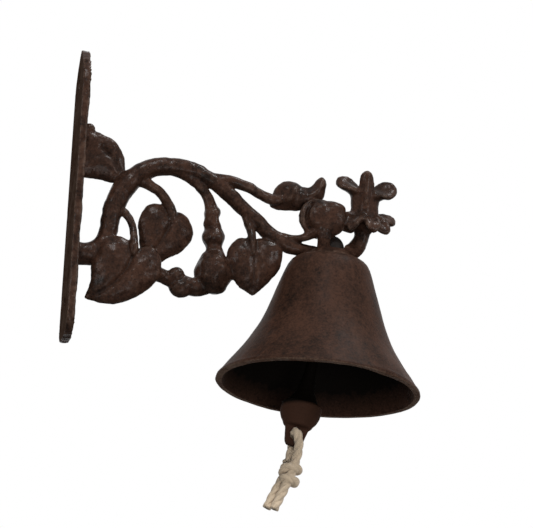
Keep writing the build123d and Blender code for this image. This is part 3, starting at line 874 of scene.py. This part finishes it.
class MakeClapper(bpy.types.Operator):
    """Makes the clapper: loop, shaft, drum-shaped striker and flat tail with the rope's eye"""

    bl_idname = "wall_bell.make_clapper"
    bl_label = "Clapper"

    def execute(self, context):
        finish = context.scene.bell_finish
        bm = bmesh.new()
        turn_profile(bm, CLAPPER_PROFILE, 48)
        tail = [(-6.9, -66), (6.9, -66), (4.7, -77.2), (3.3, -78.8), (-3.3, -78.8), (-4.7, -77.2)]
        thickened(bm, [bm.verts.new((x, -2.0, z)) for x, z in tail], (0, 4, 0))
        self.add_loop(bm)
        skin_over(bm, CLAPPER_SKIN)
        ease(bm, passes=2)
        waver(bm, 0.25, 6)
        slot = bmesh.new()
        bmesh.ops.create_cone(
            slot, cap_ends=True, segments=40, radius1=3, radius2=3, depth=12,
            matrix=Matrix.Translation((0, 0, -72.5)) @ Matrix.Rotation(math.radians(90), 4, "X"))
        bmesh.ops.scale(slot, vec=(1, 1, 1.2), space=Matrix.Translation((0, 0, 72.5)), verts=slot.verts)
        cut_away(bm, slot)
        bmesh.ops.transform(bm, matrix=CLAPPER_HANG, verts=bm.verts)
        # Painted shade: the clapper goes near black above its drum, where the bell's lip shades it
        iron = iron_shaded_above(
            "clapper_iron_painted_shade", finish.iron, finish.inside_shade, -0.1070, -0.1050, bare=0.2, ragged=0.001)
        finished(bm, "iron_clapper", [iron], "striker", "clapper", smooth_angle=50)
        return {"FINISHED"}

    def add_loop(self, bm):
        """The round loop that the clapper hangs by."""
        ring = bmesh.new()
        quarter = Matrix.Rotation(math.radians(90), 4, "X")
        bmesh.ops.create_circle(
            ring, segments=16, radius=1.75,
            matrix=quarter @ Matrix.Translation((4.5, 0, 0)) @ quarter)
        bmesh.ops.spin(ring, geom=ring.edges[:] + ring.verts[:], cent=(0, 0, 0), axis=(0, 1, 0),
                       angle=2 * math.pi, steps=36, use_merge=True)
        bmesh.ops.translate(ring, vec=(0, 0, -1.0), verts=ring.verts)
        bmesh.ops.recalc_face_normals(ring, faces=ring.faces)
        join(bm, ring)


class MakeRope(bpy.types.Operator):
    """Twists the rope's strands along its route, and ties the knot"""

    bl_idname = "wall_bell.make_rope"
    bl_label = "Rope pull"

    def execute(self, context):
        sizes, finish = context.scene.bell_sizes, context.scene.bell_finish
        route = [ROPE_EYE * MM + Vector(place) for place in ROPE_ROUTE]
        line = [place / MM for place in self.draw(route)]
        middle = min(
            range(len(line)), key=lambda i: abs(line[i].y) + 0.02 * abs(i - len(line) / 2))
        yarn = cotton("cotton_yarn", finish.cotton, finish.cotton_shade)
        knot = self.tie(yarn)
        for name, part in (("rope_front", line[: middle + 1]), ("rope_back", line[middle:])):
            bm = bmesh.new()
            self.lay_strands(bm, line, part, sizes)
            piece = finished(bm, name, [yarn], "striker", "pull_rope")
            path = [tuple(p * MM) for p in (part if name == "rope_back" else reversed(part))]
            [knot] if name == "rope_front" else []
        return {"FINISHED"}

    def draw(self, route):
        """The places along the rope's line, from its NURBS route."""
        curve = bpy.data.curves.new("route", "CURVE")
        curve.dimensions = "3D"
        curve.resolution_u = 12
        spline = curve.splines.new("NURBS")
        spline.points.add(len(route) - 1)
        for point, place in zip(spline.points, route):
            point.co = (*place, 1)
        spline.order_u = 3
        spline.use_endpoint_u = True
        return line_of(curve)

    def lay_strands(self, bm, line, part, sizes):
        """Three strands twisted round a stretch of the line, in step with the rest of it."""
        thick, pitch = sizes.rope_thick / MM, sizes.rope_twist / MM
        first = line.index(part[0])
        run = 0.0
        for before, after in zip(line[:first], line[1: first + 1]):
            run += (after - before).length
        sweep_strands(bm, part, thick, pitch, run)

    def tie(self, yarn):
        """The overhand knot: two turns of rope round both legs, pulled tight."""
        bm = bmesh.new()
        top, foot = ROPE_EYE + Vector((-0.6, 0, -15.6)), ROPE_EYE + Vector((-2.0, 0, -25.2))
        turns = []
        for step in range(49):
            share = step / 48
            angle = math.radians(170 - 700 * share)
            radius = 2.6 + 0.7 * math.sin(math.pi * share)
            middle = top.lerp(foot, 0.5 - 0.5 * math.cos(math.pi * share))
            turns.append(middle + Vector((
                1.12 * radius * math.cos(angle), radius * math.sin(angle),
                -1.6 * math.cos(angle - 0.6))))
        sweep_strands(bm, turns, KNOT_THICK, KNOT_TWIST, 0.0)
        return finished(bm, "tied_knot", [yarn], "striker", "rope_knot")


def frames_along(line, run):
    """At each place on a line: the place, two directions across it, and the run so far."""
    frames = []
    across = Vector((1, 0, 0))
    for number, place in enumerate(line):
        ahead = (line[min(number + 1, len(line) - 1)] - line[max(number - 1, 0)]).normalized()
        across = (across - ahead * across.dot(ahead)).normalized()
        frames.append((place, across.copy(), ahead.cross(across), run))
        if number + 1 < len(line):
            run += (line[number + 1] - place).length
    return frames


def spoke(side, front, turn, length):
    """The way out from a line, this share of a turn round it."""
    return (side * math.cos(2 * math.pi * turn) + front * math.sin(2 * math.pi * turn)) * length


def sweep_strands(bm, line, thick, pitch, run, sides=12):
    """Three round strands that turn about a line once in each pitch, unrolled in their UV map."""
    uv = bm.loops.layers.uv.verify()
    frames = frames_along(line, run)
    for strand in range(3):
        rings = []
        for place, side, front, way in frames:
            middle = place + spoke(side, front, way / pitch + strand / 3, thick * STRAND_ORBIT)
            rings.append([
                bm.verts.new(middle + spoke(side, front, step / sides, thick * STRAND_RADIUS))
                for step in range(sides)])
        for here in range(len(rings) - 1):
            for step in range(sides):
                corners = ((step, here), (step + 1, here), (step + 1, here + 1), (step, here + 1))
                face = bm.faces.new([rings[ring][side % sides] for side, ring in corners])
                for loop, (side, ring) in zip(face.loops, corners):
                    loop[uv].uv = (side / sides * 2, frames[ring][-1] / 4)
        bm.faces.new(rings[0])
        bm.faces.new(rings[-1])
    bmesh.ops.recalc_face_normals(bm, faces=bm.faces)


class FinishFittings(bpy.types.Operator):
    """Gives the bolt, washer, nut and link their own iron"""

    bl_idname = "wall_bell.finish_fittings"
    bl_label = "Bolt, washer, nut and link"

    def execute(self, context):
        finish = context.scene.bell_finish
        dark = painted_iron(
            "nut_iron", finish.nut, finish.iron_dark_and_shade, finish.iron_dark_and_shade, wear=0.4, gloss=0.5)
        plain = painted_iron(
            "bolt_iron", finish.iron_dark_and_shade, finish.inside_shade, finish.iron, wear=0.5, gloss=0.5)
        for name, material in (
                ("dome_nut", dark), ("eye_bolt", plain), ("crown_washer", plain),
                ("clapper_link", plain)):
            node = frame["nodes"][name]
            node.data.materials.clear()
            node.data.materials.append(material)
        return {"FINISHED"}


# Stage


class SetStage(bpy.types.Operator):
    """Sets the floor, the lamps, the world and the camera"""

    bl_idname = "wall_bell.set_stage"
    bl_label = "Stage"

    def execute(self, context):
        self.lay_floor()
        self.light_world(context.scene)
        self.hang_lamp("key", (-0.15, -0.85, 1.0), 0.16, 12.0)
        self.hang_lamp("glint", (0.46, -0.14, 1.15), 0.12, 8.0, diffuse=False)
        self.hang_lamp("right", (0.85, -0.75, 0.35), 0.16, 5.0)
        self.hang_lamp("left", (-0.95, -0.85, 0.25), 0.16, 4.0)
        self.hang_lamp("low", (0.1, -1.2, -0.45), 0.40, 6.0)
        self.hang_lamp("back", (0.2, 1.1, 0.7), 0.45, 7.0, glossy=False)
        self.hang_lamp("side", (1.3, 0.2, 0.5), 0.45, 3.5, glossy=False)
        self.place_camera(context.scene)
        context.scene.view_settings.view_transform = "Standard"
        return {"FINISHED"}

    def lay_floor(self):
        """A wide white floor far below, on which the shadow falls."""
        bm = bmesh.new()
        bmesh.ops.create_grid(bm, x_segments=2, y_segments=2, size=8)
        bmesh.ops.translate(bm, vec=(0, 0, -1.5), verts=bm.verts)
        mesh = give_mesh(bm, "floor")
        bm.free()
        material, field = blank_material("floor_white")
        close_material(field, {"Base Color": (0.82, 0.82, 0.81, 1), "Roughness": 0.9})
        mesh.materials.append(material)
        floor = linked("floor", mesh)

    def light_world(self, scene):
        """White where it is seen or mirrored, and a low plain light elsewhere."""
        scene.world = bpy.data.worlds.new("studio")
        scene.world.use_nodes = True
        tree = scene.world.node_tree
        tree.nodes.clear()
        field = Field(tree)
        seen = field.node("LightPath", {}, {}, out="Is Camera Ray")
        glossy = field.node("LightPath", {}, {}, out="Is Glossy Ray")
        through = field.node("LightPath", {}, {}, out="Is Transmission Ray")
        shown = seen + glossy * (1 - seen) + through
        plain = field.node("Background", {}, {"Color": (1, 1, 1, 1), "Strength": 0.10})
        white = field.node("Background", {}, {"Color": (1, 1, 1, 1), "Strength": 1.0})
        both = field.node("MixShader", {}, {0: shown, 1: plain, 2: white})
        output = tree.nodes.new("ShaderNodeOutputWorld")
        tree.links.new(both.socket, output.inputs["Surface"])

    def hang_lamp(self, name, place, size, power, glossy=True, diffuse=True):
        """A square lamp that faces the bell's middle."""
        lamp = bpy.data.lights.new(name, "AREA")
        lamp.shape = "SQUARE"
        lamp.size = size
        lamp.energy = power
        holder = linked(name, lamp)
        holder.location = Vector(place) + Vector((0.1, 0, -0.03))
        holder.rotation_euler = (-Vector(place)).to_track_quat("-Z", "Y").to_euler()
        holder.visible_glossy = glossy
        holder.visible_diffuse = diffuse

    def place_camera(self, scene):
        """A long lens a little below the bell and a little behind the wall's face."""
        azimuth, elevation, roll = math.radians(-7.9), math.radians(-16.7), math.radians(3.5)
        scale_px_per_m, frame_px, lens = 1873.0, 533.0, 560.0
        right = Vector((math.cos(azimuth), math.sin(azimuth), 0))
        back = Vector((
            math.sin(azimuth) * math.cos(elevation), -math.cos(azimuth) * math.cos(elevation),
            math.sin(elevation)))
        up = back.cross(right)
        middle = right * 0.10595 - up * 0.03166
        tilted_right = right * math.cos(roll) + up * math.sin(roll)
        tilted_up = up * math.cos(roll) - right * math.sin(roll)
        camera = bpy.data.cameras.new("camera")
        camera.lens = lens
        camera.sensor_width = 36
        camera.clip_end = 20
        distance = lens / camera.sensor_width * frame_px / scale_px_per_m
        holder = linked("camera", camera)
        pose = Matrix((tilted_right, tilted_up, back)).transposed().to_4x4()
        pose.translation = middle + back * distance
        holder.matrix_world = pose
        scene.camera = holder


class WallBellPanel(bpy.types.Panel):
    """Lists the bell's pieces in the sidebar"""

    bl_idname = "VIEW3D_PT_wall_bell"
    bl_label = "Wall bell"
    bl_space_type = "VIEW_3D"
    bl_region_type = "UI"
    bl_category = "Wall bell"

    def draw(self, context):
        for maker in MAKERS:
            self.layout.operator(maker.bl_idname)
        for group in (context.scene.bell_sizes, context.scene.bell_finish):
            for name in group.__annotations__:
                self.layout.prop(group, name)


MAKERS = (SetStage, MakeBracket, MakeBell, MakeClapper, MakeRope, FinishFittings)
CLASSES = (BellSizes, BellFinish, *MAKERS, WallBellPanel)


def register():
    for listed in CLASSES:
        bpy.utils.register_class(listed)
    bpy.types.Scene.bell_sizes = bpy.props.PointerProperty(type=BellSizes)
    bpy.types.Scene.bell_finish = bpy.props.PointerProperty(type=BellFinish)


def unregister():
    del bpy.types.Scene.bell_finish
    del bpy.types.Scene.bell_sizes
    for listed in reversed(CLASSES):
        bpy.utils.unregister_class(listed)


def main():
    register()
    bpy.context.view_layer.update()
    bpy.ops.wall_bell.set_stage()
    bpy.ops.wall_bell.make_rope()
    bpy.ops.wall_bell.make_bracket()
    bpy.ops.wall_bell.make_bell()
    bpy.ops.wall_bell.make_clapper()
    bpy.ops.wall_bell.finish_fittings()


if __name__ == "__main__":
    main()
